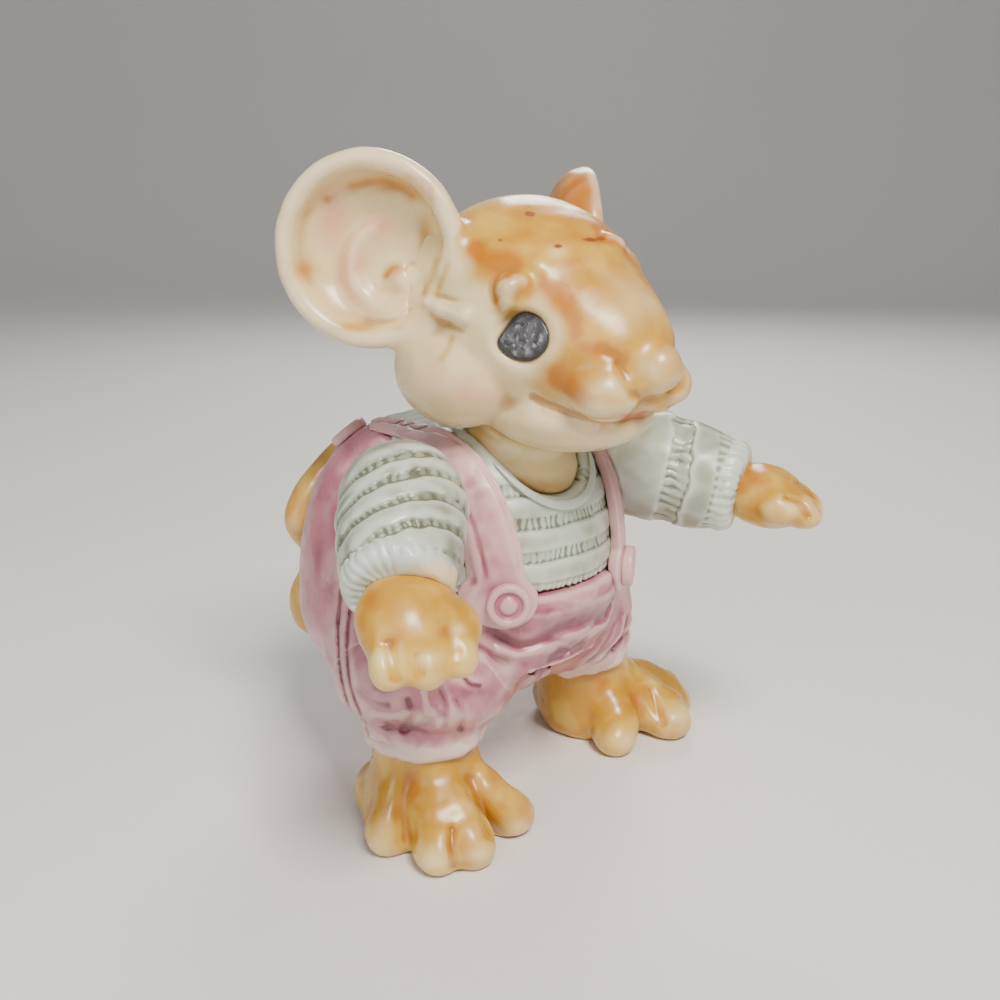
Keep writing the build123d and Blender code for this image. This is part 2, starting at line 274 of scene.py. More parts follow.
class Skin:
    """Points of a surface and the ways it faces, as the photograph's camera and its mirror image see them.

    A mark drawn in both views lies on the side that each view faces, and past the middle by an overlap."""

    def __init__(self, points, normals):
        self.points = points
        # For the photograph and its mirror image: pixels across and down, millimetres to a pixel, and facing
        self.views = []
        for flip in (1, -1):
            seen = points * (flip, 1, 1) + ((1 - flip) * MIDDLE, 0, 0)
            facing = normals * (flip, 1, 1)
            sight = CAMERA_PLACE - seen
            cosine = np.sum(sight * facing, axis=1) / np.linalg.norm(sight, axis=1)
            self.views.append((*project(seen), np.clip(cosine * FACING_GAIN, 0, 1)))

    def each_view(self, low, high, both):
        """The points whose pixels lie between two corners, in the photograph and in its mirror image."""
        for way, (across, down, scale, facing) in zip((-1, 1), self.views[:2 if both else 1]):
            if both:
                beside = way * (self.points[:, 0] - MIDDLE) + OVERLAP
                facing = facing * flat_step(beside, 0.0, OVERLAP_FADE)
            framed = (across > low[0]) & (across < high[0]) & (down > low[1]) & (down < high[1])
            close = np.nonzero(framed & (facing > 0))[0]
            if len(close):
                yield close, across[close], down[close], scale[close], facing[close]

    def stroke(self, line, width, both=True):
        """1 along a smooth line of pixels, falling to 0 over a width in millimetres."""
        line = curve(line)
        total = np.zeros(len(self.points), np.float32)
        room = 2 * width / MM_PER_PIXEL
        low, high = line.min(0) - room, line.max(0) + room
        for close, across, down, scale, facing in self.each_view(low, high, both):
            gap = line_distance(across, down, line) * scale
            total[close] = np.maximum(total[close], bell(gap, width) * facing)
        return total

    def strokes(self, lines, width, both=True):
        """The strongest of several strokes."""
        return np.max([self.stroke(line, width, both) for line in lines], axis=0)

    def bands(self, lines):
        """The strongest of several strokes, each a line and its width."""
        return np.max([self.stroke(line, width) for line, width in lines], axis=0)

    def creases(self, marks, both=True):
        """The depth that several creases sink, each a line, its width and its depth."""
        return sum(deep * self.stroke(line, width, both) for line, width, deep in marks)

    def blot(self, spot, both=True):
        """1 at a pixel, falling to 0 over a half width and half height, the spot's last two numbers."""
        total = np.zeros(len(self.points), np.float32)
        place, size = np.array(spot[:2], float), np.array(spot[2:], float)
        for close, across, down, scale, facing in self.each_view(place - 2 * size, place + 2 * size, both):
            gap = ((across - place[0]) / size[0]) ** 2 + ((down - place[1]) / size[1]) ** 2
            total[close] = np.maximum(total[close], np.exp(-1.4 * gap) * facing)
        return total

    def blots(self, spots, both=True):
        """The strongest of several blots."""
        return np.max([self.blot(spot, both) for spot in spots], axis=0)

    def inside(self, outline):
        """Millimetres inside a closed outline of pixels, negative outside it and far off it."""
        closed = curve(list(outline) + [outline[0]])
        total = np.full(len(self.points), -REACH, np.float32)
        room = REACH / MM_PER_PIXEL
        low, high = closed.min(0) - room, closed.max(0) + room
        for close, across, down, scale, facing in self.each_view(low, high, True):
            gap = line_distance(across, down, closed) * scale
            odd = np.zeros(len(close), bool)
            for a, b in zip(closed[:-1], closed[1:]):
                if a[1] != b[1]:
                    crosses = (a[1] > down) != (b[1] > down)
                    odd ^= crosses & (across < a[0] + (down - a[1]) * (b[0] - a[0]) / (b[1] - a[1]))
            total[close] = np.maximum(total[close], np.where(odd, gap, -gap))
        return total

    def wobble(self, pitch, seed=0.0):
        """A smooth irregular value between about -1 and 1 that changes over a pitch in millimetres."""
        x, y, z = (self.points * (2 * pi / pitch)).T
        first = np.sin(x + 1.7 * np.sin(0.7 * y + seed) + seed)
        second = np.cos(0.8 * z + 1.3 * np.sin(0.6 * x - seed))
        third = np.sin(1.3 * y - 1.1 * np.sin(0.9 * z + 2 * seed) + 0.5 * x + 3 * seed)
        return 0.5 * first * second + 0.5 * third


def bell(distance, width):
    """1 at no distance, falling to 0 over about a width."""
    return np.exp(-2 * (distance / width) ** 2)


def flat_step(value, low, high):
    """0 below low, 1 above high and smooth between."""
    share = np.clip((value - low) / (high - low), 0, 1)
    return share * share * (3 - 2 * share)


def ticks(along, pitch):
    """Rounded ridges at a pitch, 0 in the gaps and 1 on the ridges."""
    return (0.5 + 0.5 * np.cos(2 * pi * along / pitch)) ** 0.7


# Meshes

def make_piece(name, block, material, paint):
    """Turns a block's field into a mesh object that stands for the block's node."""
    transform = openvdb.createLinearTransform(voxelSize=block.voxel)
    grid = openvdb.FloatGrid(REACH)
    grid.transform = transform
    grid.copyFromArray(block.field, ijk=tuple(int(step) for step in block.low))
    points, triangles, quads = grid.convertToPolygons(isovalue=0.0, adaptivity=0.0)
    mesh = bpy.data.meshes.new(name)
    mesh.from_pydata((points * MM).tolist(), [], quads.tolist() + triangles.tolist())
    mesh.polygons.foreach_set("use_smooth", np.ones(len(mesh.polygons), bool))
    # How hollow each point is; the materials paint shade in the hollows and highlights on the ridges from it
    wide = blurred(block.field, CAVITY_WIDTH / block.voxel)
    store(mesh, "cavity", 0.5 - CAVITY_GAIN * block.sample(block.field - wide, points))
    normals = np.empty(len(points) * 3, np.float32)
    mesh.vertex_normals.foreach_get("vector", normals)
    skin = Skin(points, normals.reshape(-1, 3))
    for mask, values in paint(skin).items():
        store(mesh, mask, values)
    piece = bpy.data.objects.new(name, mesh)
    bpy.context.scene.collection.objects.link(piece)
    mesh.materials.append(material)
    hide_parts(block.node)
    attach(piece, "root")


def store(mesh, name, values):
    """Keeps a number from 0 to 1 for each point of a mesh, for its material to read."""
    layer = mesh.attributes.new(name, "FLOAT", "POINT")
    layer.data.foreach_set("value", np.clip(values, 0, 1).astype(np.float32))


# Materials

def srgb(red, green, blue):
    """A colour from the 0 to 255 values of a screen."""
    def linear(value):
        value /= 255
        return value / 12.92 if value <= 0.04045 else ((value + 0.055) / 1.055) ** 2.4
    return linear(red), linear(green), linear(blue), 1.0


# The places of the two colours and of the result on a colour Mix node
MIX_FIRST, MIX_SECOND, MIX_RESULT = 6, 7, 2


class Glaze:
    """A painted, glazed surface, laid on coat by coat."""

    def __init__(self, name, colour, roughness=0.36):
        self.material = bpy.data.materials.new(name)
        self.material.use_nodes = True
        self.nodes = self.material.node_tree.nodes
        self.links = self.material.node_tree.links
        self.shader = self.nodes["Principled BSDF"]
        self.place = self.nodes.new("ShaderNodeTexCoord").outputs["Object"]
        self.colour = None
        self.first = srgb(*colour)
        for name, value in (("Coat Weight", 0.28), ("Coat Roughness", 0.22), ("Subsurface Weight", 0.06),
                            ("Subsurface Radius", (0.0012, 0.0008, 0.0005)), ("Subsurface Scale", 1.0)):
            self.shader.inputs[name].default_value = value
        uneven = self.spread(self.noise(1.8, 3), 0.3, 0.7, roughness - 0.07, roughness + 0.07)
        self.links.new(uneven, self.shader.inputs["Roughness"])
        bump = self.nodes.new("ShaderNodeBump")
        bump.inputs["Strength"].default_value = 0.12
        bump.inputs["Distance"].default_value = 0.0002
        self.links.new(self.noise(0.9, 4), bump.inputs["Height"])
        self.links.new(bump.outputs["Normal"], self.shader.inputs["Normal"])

    def noise(self, size, detail):
        """A noise whose features are about a size in millimetres."""
        node = self.nodes.new("ShaderNodeTexNoise")
        node.inputs["Scale"].default_value = 1 / (size * MM)
        node.inputs["Detail"].default_value = detail
        self.links.new(self.place, node.inputs["Vector"])
        return node.outputs["Fac"]

    def mask(self, name):
        """One of the numbers that the mesh keeps for its points."""
        node = self.nodes.new("ShaderNodeAttribute")
        node.attribute_name = name
        return node.outputs["Fac"]

    def spread(self, value, low, high, start=0.0, end=1.0):
        """A value's range from low to high turned into one from start to end."""
        node = self.nodes.new("ShaderNodeMapRange")
        node.interpolation_type = "SMOOTHSTEP"
        for name, number in (("From Min", low), ("From Max", high), ("To Min", start), ("To Max", end)):
            node.inputs[name].default_value = number
        self.links.new(value, node.inputs["Value"])
        return node.outputs["Result"]

    def cloud(self, size, detail, low, high, end=1.0):
        """Soft patches: a noise whose values from low to high are spread from 0 to end."""
        return self.spread(self.noise(size, detail), low, high, 0.0, end)

    def joined(self, first, second, how="MULTIPLY"):
        """Two values multiplied, added or otherwise put together."""
        node = self.nodes.new("ShaderNodeMath")
        node.operation = how
        self.links.new(first, node.inputs[0])
        self.links.new(second, node.inputs[1])
        return node.outputs["Value"]

    def lay(self, colour, amount):
        """Lays a colour over what is there, as strongly as amount."""
        node = self.nodes.new("ShaderNodeMix")
        node.data_type = "RGBA"
        self.links.new(amount, node.inputs["Factor"])
        if self.colour is None:
            node.inputs[MIX_FIRST].default_value = self.first
        else:
            self.links.new(self.colour, node.inputs[MIX_FIRST])
        node.inputs[MIX_SECOND].default_value = srgb(*colour)
        self.colour = node.outputs[MIX_RESULT]
        self.links.new(self.colour, self.shader.inputs["Base Color"])

    def lay_painted_shading(self, colour, first, last, most):
        """Lays painted shade in the hollows or a painted highlight on the ridges, from none at first to most
        at last.
        """
        self.lay(colour, self.spread(self.mask("cavity"), first, last, 0.0, most))


def make_fur():
    """Cream with ochre and orange washes, brown flecks, pink on the cheeks, pink painted shade in the ears'
    dishes, painted highlights, and painted shade in the hollows.
    """
    glaze = Glaze("painted_fur", (194, 142, 34), 0.33)
    glaze.lay((214, 172, 70), glaze.cloud(6.0, 2, 0.44, 0.64))
    glaze.lay((188, 124, 8), glaze.joined(glaze.mask("ochre"), glaze.cloud(4.5, 3, 0.34, 0.60)))
    torn = glaze.joined(glaze.noise(2.6, 3), glaze.mask("wash"), "ADD")
    glaze.lay((184, 110, 1), glaze.spread(torn, 0.70, 1.45))
    # Pale cream, with painted highlights on the head
    glaze.lay((226, 206, 158), glaze.mask("pale"))
    # Pink on the cheeks, and pink painted shade in the ears' dishes
    glaze.lay((224, 158, 124), glaze.joined(glaze.mask("blush"), glaze.cloud(5.0, 2, 0.2, 0.55)))
    speckled = glaze.joined(glaze.noise(0.9, 3), glaze.mask("fleck"), "ADD")
    glaze.lay((140, 66, 14), glaze.spread(speckled, 1.0, 1.4))
    # Painted shade in the hollows, then painted highlights on the ridges
    glaze.lay_painted_shading((166, 116, 44), 0.46, 0.22, 0.7)
    glaze.lay_painted_shading((244, 230, 200), 0.60, 0.95, 0.4)
    glaze.lay((206, 62, 20), glaze.mask("lip"))
    return glaze.material


def make_skin():
    """Ochre yellow of the hands, feet and tail, with orange patches, painted shade in the hollows, and
    painted highlights on the ridges and the tips.
    """
    glaze = Glaze("painted_skin", (190, 138, 28), 0.34)
    glaze.lay((210, 168, 66), glaze.cloud(5.0, 2, 0.42, 0.64))
    glaze.lay((182, 112, 4), glaze.cloud(4.4, 3, 0.56, 0.76, 0.6))
    glaze.lay((178, 102, 1), glaze.mask("wash"))
    # Painted shade in the hollows, then painted highlights on the ridges
    glaze.lay_painted_shading((162, 92, 12), 0.44, 0.12, 0.7)
    glaze.lay_painted_shading((238, 212, 150), 0.60, 0.90, 0.4)
    # Pale, with painted highlights on the tips and the chest
    glaze.lay((238, 218, 166), glaze.mask("pale"))
    return glaze.material


def make_knit():
    """Pale mint with grey-green washes and painted shade in the stitches, painted highlights on the rolls,
    and painted shade on the sides.
    """
    glaze = Glaze("painted_knit", (164, 171, 152), 0.40)
    glaze.lay((190, 199, 186), glaze.cloud(6.0, 2, 0.40, 0.62))
    glaze.lay((132, 136, 112), glaze.cloud(3.6, 3, 0.56, 0.76, 0.55))
    # Painted shade on the sides and the arms, and darker spots
    glaze.lay((124, 126, 102), glaze.mask("wash"))
    # Painted shade and a grey-green wash in the hollows, then painted highlights on the ridges
    glaze.lay_painted_shading((74, 78, 56), 0.45, 0.10, 0.75)
    glaze.lay_painted_shading((206, 214, 204), 0.54, 0.80, 0.7)
    glaze.lay((232, 206, 156), glaze.mask("pale"))
    return glaze.material


def make_cloth():
    """Dusty pink with mauve washes, painted shade in the folds and hollows, painted highlights on the
    ridges, and a painted sheen.
    """
    glaze = Glaze("painted_cloth", (178, 108, 120), 0.38)
    glaze.lay((202, 148, 152), glaze.cloud(6.5, 2, 0.40, 0.62))
    glaze.lay((158, 88, 102), glaze.cloud(4.0, 3, 0.54, 0.74, 0.6))
    # Mauve wash in loose spots, and painted shade in the sunk folds
    glaze.lay((138, 66, 84), glaze.joined(glaze.mask("wash"), glaze.cloud(2.2, 3, 0.2, 0.55)))
    # Painted shade in the hollows, then painted highlights on the ridges
    glaze.lay_painted_shading((104, 44, 60), 0.46, 0.16, 0.8)
    glaze.lay_painted_shading((224, 188, 184), 0.56, 0.86, 0.6)
    # Painted sheen, and the pale edge of the bloomers
    glaze.lay((222, 200, 188), glaze.mask("pale"))
    return glaze.material


def make_eye_paint():
    """Dark grey, worn paler by scratches, in a darker edge."""
    glaze = Glaze("painted_eye", (38, 37, 40), 0.30)
    glaze.lay((92, 90, 94), glaze.joined(glaze.mask("worn"), glaze.cloud(1.0, 5, 0.32, 0.58)))
    glaze.lay((150, 148, 152), glaze.joined(glaze.mask("worn"), glaze.cloud(0.6, 5, 0.50, 0.68)))
    return glaze.material


def make_floor_paint():
    """A pale matt floor."""
    glaze = Glaze("studio_floor", (228, 226, 222), 0.7)
    glaze.lay((224, 222, 218), glaze.cloud(400.0, 2, 0.3, 0.7))
    glaze.shader.inputs["Coat Weight"].default_value = 0.0
    return glaze.material


FUR = make_fur()
SKIN = make_skin()
KNIT = make_knit()
CLOTH = make_cloth()
EYE_PAINT = make_eye_paint()

# Head: marks in the photograph's pixels, with widths and radii in millimetres
EYE_OUTLINE = [
    (526, 312), (540, 318), (548, 330), (548, 346), (538, 357), (524, 361), (508, 356), (497, 343),
    (505, 329), (515, 317),
]
EYELID_CREASE = [(494, 330), (503, 321), (514, 311)]
LASH_CREASES = [[(497, 322), (504, 314), (512, 308)], [(491, 316), (497, 310), (503, 306)]]
BROW_CREASE = [(496, 301), (492, 290), (497, 281), (508, 276)]
BROW_LUMP = [(505, 299), (509, 289), (519, 284)]
BROW_RADII = (0.9, 1.25, 0.8)
FAR_BROW_LUMP = [(612, 237), (620, 242)]
FAR_BROW_RADII = (0.6, 0.8)
MOUTH_LINE = [(533, 397), (552, 406), (576, 415), (604, 419), (627, 417), (650, 414), (672, 402), (688, 388)]
LIP_LINE = [(545, 412), (566, 421), (590, 427), (620, 427), (640, 421)]
NOSE_CREASE = [(604, 352), (616, 358), (622, 370), (626, 384), (634, 394)]
NOSE_UNDER = [(634, 394), (646, 399), (662, 398), (676, 389)]
CHEEK_CREASE = [(530, 390), (538, 400), (539, 410)]
EAR_LOCK = [(424, 300), (440, 306), (462, 316)]
EAR_LOCK_RADII = (0.3, 0.6, 0.8)
LOCK_LINES = [[(438, 260), (431, 278), (425, 292)], [(447, 266), (441, 282), (436, 294)],
              [(432, 314), (446, 323), (462, 331)], [(452, 338), (447, 350), (440, 360)]]
EAR_LOCK_CREASES = [[(426, 296), (442, 297), (456, 300)], [(440, 304), (452, 307), (462, 312)]]
# The creases of the face: a line, its width and its depth in millimetres
FACE_CREASES = [(MOUTH_LINE, 0.45, 0.45), (LIP_LINE, 0.8, 0.16), (NOSE_CREASE, 0.7, 0.30),
                (NOSE_UNDER, 0.5, 0.34), (CHEEK_CREASE, 0.7, 0.10), (BROW_CREASE, 0.5, 0.30),
                (EYELID_CREASE, 0.35, 0.20)]
# The edge of the ochre fur
FACE_TOP = [
    (450, 200), (450, 240), (458, 262), (478, 282), (486, 306), (500, 318), (526, 306), (552, 322),
    (554, 350), (540, 368), (536, 386), (558, 402), (590, 412), (626, 414), (690, 400), (760, 300),
    (700, 150), (520, 120), (450, 170),
]
# Washes, painted shade and painted highlights: a line and its width in millimetres, or a pixel and a spot's
# half width and half height
ORANGE_BANDS = [
    ([(548, 284), (562, 294), (572, 310), (577, 332)], 1.7),
    ([(584, 347), (602, 350), (620, 358)], 1.5),
    ([(478, 254), (492, 262), (512, 264)], 1.9),
    # Orange in the crease beside the near brow curl, partly painted shade
    ([(495, 300), (491, 288), (497, 279)], 1.1),
    ([(556, 372), (566, 388), (588, 402)], 1.6),
]
# Orange beside the far brow lump, partly wash and partly painted shade
FAR_BANDS = [[(600, 236), (610, 238), (640, 252)], [(596, 226), (606, 232)]]
ORANGE_SPOTS = [
    (505, 268, 26, 16), (576, 262, 22, 14), (620, 360, 9, 12), (556, 296, 22, 14), (650, 268, 16, 30),
    (570, 382, 26, 16), (606, 236, 14, 9), (660, 312, 9, 26), (474, 246, 16, 12), (516, 290, 14, 10),
    (545, 232, 30, 12),
]
# Painted highlights on the head, where the light falls
HEAD_HIGHLIGHTS = [
    (634, 300, 26, 34), (608, 386, 26, 14), (650, 368, 20, 18), (634, 252, 10, 22), (540, 300, 10, 12),
    (556, 252, 12, 8),
]
FLECKS = [
    (557, 246, 8, 4), (530, 214, 9, 4), (600, 239, 10, 4), (617, 362, 6, 7), (500, 240, 6, 4),
]
CHEEK_BLUSH = (470, 388, 46, 28)
HIGH_BLUSH = (455, 372, 24, 26)
LIP_SPOT = (625, 416, 9, 3.5)
# Heights between which the back of the head, which no view shows, turns ochre
CROWN_LEVELS = (56.0, 61.0)
# The eye: how far its ball is drawn in under the skin, the fillet round it, and its painted shell
EYE_INSET = 0.9
EYE_BLEND = 0.3
EYE_DOME = 0.28
EYE_RISE = 0.06
EYE_DEPTH = 1.4
# How many pixels from a mark its place on the figure may lie
PIXEL_SLACK = 3


def sculpt_head(skin):
    """The creases of the face."""
    depth = skin.creases(FACE_CREASES)
    depth += 0.16 * skin.strokes(EAR_LOCK_CREASES, 0.32)
    depth += 0.16 * skin.strokes(LASH_CREASES, 0.3)
    depth += 0.08 * skin.strokes(LOCK_LINES, 0.45)
    depth += 0.16 * bell(skin.inside(EYE_OUTLINE) + 0.2, 0.35)
    return depth + 0.05 * skin.wobble(5.0)


def paint_head(skin):
    """Where the head's washes, painted shade and painted highlights lie."""
    wander = 0.8 * skin.wobble(6.0)
    seen = np.maximum(skin.views[0][3], skin.views[1][3])
    top = flat_step(skin.inside(FACE_TOP) + wander, -1.2, 1.4) * seen
    top = np.maximum(top, flat_step(skin.points[:, 2] + wander, *CROWN_LEVELS) * (1 - seen))
    wash = np.maximum(skin.bands(ORANGE_BANDS), skin.strokes(FAR_BANDS, 1.2, False))
    locks = skin.strokes(LOCK_LINES, 0.5)
    spots = skin.blots(ORANGE_SPOTS)
    # Painted highlights, which turn the fur pale
    light = skin.blots(HEAD_HIGHLIGHTS)
    blush = np.maximum(skin.blot(CHEEK_BLUSH), 0.9 * skin.blot(HIGH_BLUSH))
    return {
        "ochre": top * (0.42 + 0.3 * skin.wobble(11.0, 1.0) + 0.6 * spots - 0.5 * light),
        "wash": top * (0.85 * wash + 0.40 * spots - 0.3 * light),
        "pale": (0.92 * (1 - top) + 0.45 * light) * (1 - 0.6 * locks),
        "blush": 0.75 * blush * (1 - top),
        "fleck": skin.blots(FLECKS),
        "lip": 0.85 * skin.blot(LIP_SPOT) + 0.12 * skin.stroke(LIP_LINE, 0.8),
    }


def seen_place(block, form, pixel):
    """The point of a form that the photograph's camera sees at a pixel."""
    index = np.nonzero(np.abs(form) < 0.7 * block.voxel)
    points = np.stack([(axis + step) * block.voxel for axis, step in zip(index, block.low)], axis=-1)
    across, down, scale = project(points)
    gap = np.hypot(across - pixel[0], down - pixel[1])
    close = gap < gap.min() + PIXEL_SLACK
    return points[close][np.argmin(scale[close])]


def add_locks(block):
    """The pointed lock that reaches from the head over each ear's opening, and the curl over each eye."""
    form = np.minimum(block.field, block.solid("ear_right"))
    lock, brow, far_brow = ([seen_place(block, form, pixel) for pixel in line]
                            for line in (EAR_LOCK, BROW_LUMP, FAR_BROW_LUMP))
    block.tube(lock, EAR_LOCK_RADII, 0.9)
    block.tube([(2 * MIDDLE - place[0], place[1], place[2]) for place in lock], EAR_LOCK_RADII, 0.9)
    block.tube(brow, BROW_RADII, 1.0)
    block.tube(far_brow, FAR_BROW_RADII, 1.0)


def make_head():
    """The head, drawn up to the ears, without the eyes."""
    block = Block("head", margin=5.0)
    for side in ("right", "left"):
        block.join("eye_" + side, EYE_BLEND, EYE_INSET)
    block.smooth(0.62)
    for side in ("right", "left"):
        block.meet("ear_" + side, 2.2, 1.8)
    add_locks(block)
    block.press(sculpt_head)
    for side in ("right", "left"):
        block.field = np.maximum(block.field, -eye_field(block, side, -0.05))
    block.smooth(0.18)
    make_piece("mouse_head", block, FUR, paint_head)


def eye_field(block, side, grow):
    """A thin domed shell over the head inside the eye's outline."""
    base = soft_min(block.solid("head"), block.solid("eye_" + side, EYE_INSET), EYE_BLEND)
    base = blurred(base, 0.75 / block.voxel)
    low, high = node_box("eye_" + side)
    part, axes = block.window(low - 1.5, high + 1.5)
    grid = np.meshgrid(*axes, indexing="ij")
    points = np.stack([axis.ravel() for axis in grid], axis=-1).astype(np.float32)
    middle = node_middle("eye_" + side)
    outward = np.broadcast_to(middle - node_middle("head"), points.shape)
    skin = Skin(points, outward / np.linalg.norm(outward, axis=1, keepdims=True))
    local = base[part]
    inside = skin.inside(EYE_OUTLINE).reshape(local.shape)
    field = np.full(block.shape, REACH, np.float32)
    dome = EYE_DOME * np.clip(inside / 2.0, 0, 1) ** 0.5
    field[part] = np.maximum(np.maximum(local - dome - EYE_RISE, -local - EYE_DEPTH), -inside) - grow
    return field


def make_eye(side):
    """A dark painted eye with a rounded kite outline."""
    block = Block("eye_" + side, margin=2.4, voxel=FINE_VOXEL)
    block.field = eye_field(block, side, 0.0)
    block.smooth(0.06)

    def paint(skin):
        return {"worn": flat_step(skin.inside(EYE_OUTLINE) + 0.3 * skin.wobble(1.6), 0.15, 0.9)}

    make_piece("painted_eye_" + side, block, EYE_PAINT, paint)


# Ears: marks in the photograph's pixels
EAR_GROOVES = [
    ([(330, 200), (356, 186), (384, 183), (411, 196), (425, 222), (426, 252)], 1.2, 0.30),
    ([(368, 216), (348, 241), (339, 270), (347, 298), (368, 312)], 1.6, 0.25),
    ([(412, 268), (419, 290), (416, 312)], 0.9, 0.30),
]
# Orange in the dish's grooves, partly ochre paint and partly painted shade under the ridge
EAR_BANDS = [
    ([(352, 187), (376, 182), (396, 186), (412, 196)], 0.9),
    ([(416, 296), (420, 308), (414, 320)], 0.9),
    ([(386, 276), (394, 268), (404, 270)], 0.7),
    ([(410, 176), (424, 184), (434, 200)], 1.0),
]
EAR_SPOTS = [
    (392, 187, 30, 9), (423, 186, 16, 16), (304, 270, 15, 13), (425, 236, 9, 26), (352, 328, 34, 8),
    (399, 272, 13, 8), (418, 314, 10, 14), (408, 330, 20, 8),
]
# Pink painted shade in the ear's dish
EAR_SHADE = [
    (334, 222, 22, 34), (352, 266, 20, 44), (396, 288, 14, 10), (380, 226, 24, 18), (412, 290, 12, 30),
]
# Where the far ear's rim shows: its left and top, right and bottom
FAR_EAR_EDGE = (588, 172, 606, 222)
# How widely an ear and its dish are rounded, and how much the dish is thickened for it
EAR_ROUND = 0.35
DISH_ROUND = 0.7
DISH_THICKER = 0.45
# Shares of the ear's half height over which the dish passes into the rim
DISH_SHARES = (0.60, 0.86)


def sculpt_ear(skin):
    """The folds inside the dish."""
    return skin.creases(EAR_GROOVES) + 0.05 * skin.wobble(4.5)


def make_ear(side):
    """A dished ear with a rolled rim, cream with pink painted shade in the dish, and orange behind."""
    def paint(skin):
        front = flat_step(skin.views[0 if side == "right" else 1][3], 0.05, 0.4)
        if side == "left":
            across, down, scale, facing = skin.views[0]
            left, top, right, bottom = FAR_EAR_EDGE
            edge = left + (right - left) * (down - top) / (bottom - top)
            front = np.where(facing > 0, flat_step(across - edge, -4.0, 6.0), front)
        spots, bands = skin.blots(EAR_SPOTS), skin.bands(EAR_BANDS)
        dusk = 0.55 + 0.35 * skin.wobble(8.0)
        return {
            "ochre": front * (0.9 * spots + 0.6 * bands) + (1 - front),
            "wash": front * (0.75 * bands + 0.45 * spots - 0.2) + (1 - front) * (0.3 + dusk),
            "pale": 0.85 * front * (1 - 0.9 * np.maximum(spots, bands)),
            # Pink painted shade in the dish
            "blush": 0.85 * front * skin.blots(EAR_SHADE) * (1 - spots),
        }

    block = Block("ear_" + side)
    crisp = blurred(block.field, EAR_ROUND / block.voxel)
    soft = blurred(crisp, DISH_ROUND / block.voxel) - DISH_THICKER
    middle = node_middle("ear_" + side)
    low, high = node_box("ear_" + side)
    part, axes = block.window(low - REACH, high + REACH)
    x, y, z = np.meshgrid(*(axis - place for axis, place in zip(axes, middle)), indexing="ij", sparse=True)
    away = np.sqrt(x ** 2 + y ** 2 + z ** 2) / ((high - low)[2] / 2)
    share = 1 - flat_step(away, *DISH_SHARES)
    block.field = crisp
    block.field[part] = crisp[part] * (1 - share) + soft[part] * share
    block.press(sculpt_ear)
    make_piece("dished_ear_" + side, block, FUR, paint)


# Hands, feet, neck and tail: creases, as a line, its width and its depth, and spots
SKIN_CREASES = [
    ([(389, 644), (391, 656), (394, 676)], 1.0, 0.50),
    ([(418, 656), (420, 674)], 0.7, 0.25),
    ([(446, 630), (451, 640), (456, 652)], 1.3, 0.32),
    ([(452, 830), (451, 846), (453, 866)], 0.7, 0.40),
    ([(408, 780), (402, 806), (406, 836)], 1.5, 0.50),
    ([(470, 780), (482, 806), (490, 832)], 1.5, 0.50),
    ([(806, 468), (822, 482), (835, 502)], 0.5, 0.40),
    ([(798, 482), (812, 494), (822, 510)], 0.5, 0.40),
    ([(786, 498), (800, 505), (808, 516)], 0.5, 0.35),
    ([(650, 690), (656, 706), (662, 722)], 1.0, 0.40),
    ([(684, 676), (692, 690), (700, 704)], 0.8, 0.30),
]
SKIN_SPOTS = [
    (400, 638, 14, 12), (372, 600, 12, 16), (446, 632, 10, 10), (412, 784, 10, 24), (390, 812, 10, 12),
    (492, 780, 12, 16), (600, 682, 18, 14), (756, 480, 16, 12), (452, 848, 6, 10), (636, 700, 14, 12),
    (292, 470, 8, 40), (740, 470, 10, 12), (410, 748, 14, 6),
]
# Painted highlights on the tips of the fingers and toes
SKIN_TIP_HIGHLIGHTS = [
    (382, 658, 12, 8), (428, 658, 18, 8), (458, 630, 8, 8), (372, 850, 20, 10), (432, 862, 18, 12),
    (480, 856, 16, 12), (520, 830, 16, 12), (632, 742, 18, 10), (682, 716, 16, 12), (826, 508, 12, 10),
    (792, 508, 14, 6),
]
# Painted highlights on the chest
CHEST_HIGHLIGHTS = [(545, 464, 40, 20), (590, 455, 20, 16), (510, 452, 18, 12)]
CHEST_EDGE = [(518, 482), (540, 488), (566, 488), (590, 474), (602, 456)]


def sculpt_skin(skin):
    """The lines between fingers and toes."""
    return skin.creases(SKIN_CREASES, False) + 0.05 * skin.wobble(4.0)


def skin_marks(skin):
    """Where the bare skin carries more orange, and where painted highlights make it pale."""
    return {"wash": 0.7 * skin.blots(SKIN_SPOTS, False), "pale": 0.55 * skin.blots(SKIN_TIP_HIGHLIGHTS, False)}


def chest_marks(skin):
    """A pale chest with painted highlights where the light falls, and an ochre lower edge."""
    edge = skin.stroke(CHEST_EDGE, 0.9, False)
    return {"wash": 0.5 * edge, "pale": 0.35 + skin.blots(CHEST_HIGHLIGHTS, False) - 0.6 * edge}


def make_bare(name, node, soften, grow=0.0, sinews=(), paint=skin_marks):
    """A bare piece of the body, its joins melted together, with sinews laid along it."""
    block = Block(node)
    for route, radii in sinews:
        block.tube(route, radii, 1.6)
    block.smooth(soften)
    block.field -= grow
    block.press(sculpt_skin)
    make_piece(name, block, SKIN, paint)


# Toes: where each one's middle shows in the photograph, and its height
TOE_PIXELS = {
    "right": ((385, 828), (440, 842), (474, 838), (512, 810)),
    "left": ((628, 726), (672, 704), (672, 684)),
}
TOE_HEIGHT = 3.2
# Sinews: their height at the ankle, their radii, and the shares of the way to the toe at which they start,
# bend and end
SINEW_TOP = 8.2
SINEW_RADII = (2.2, 2.1, 1.8)
SINEW_START = 0.24
SINEW_BEND = 0.55
SINEW_DROP = 0.58
SINEW_END = 0.85


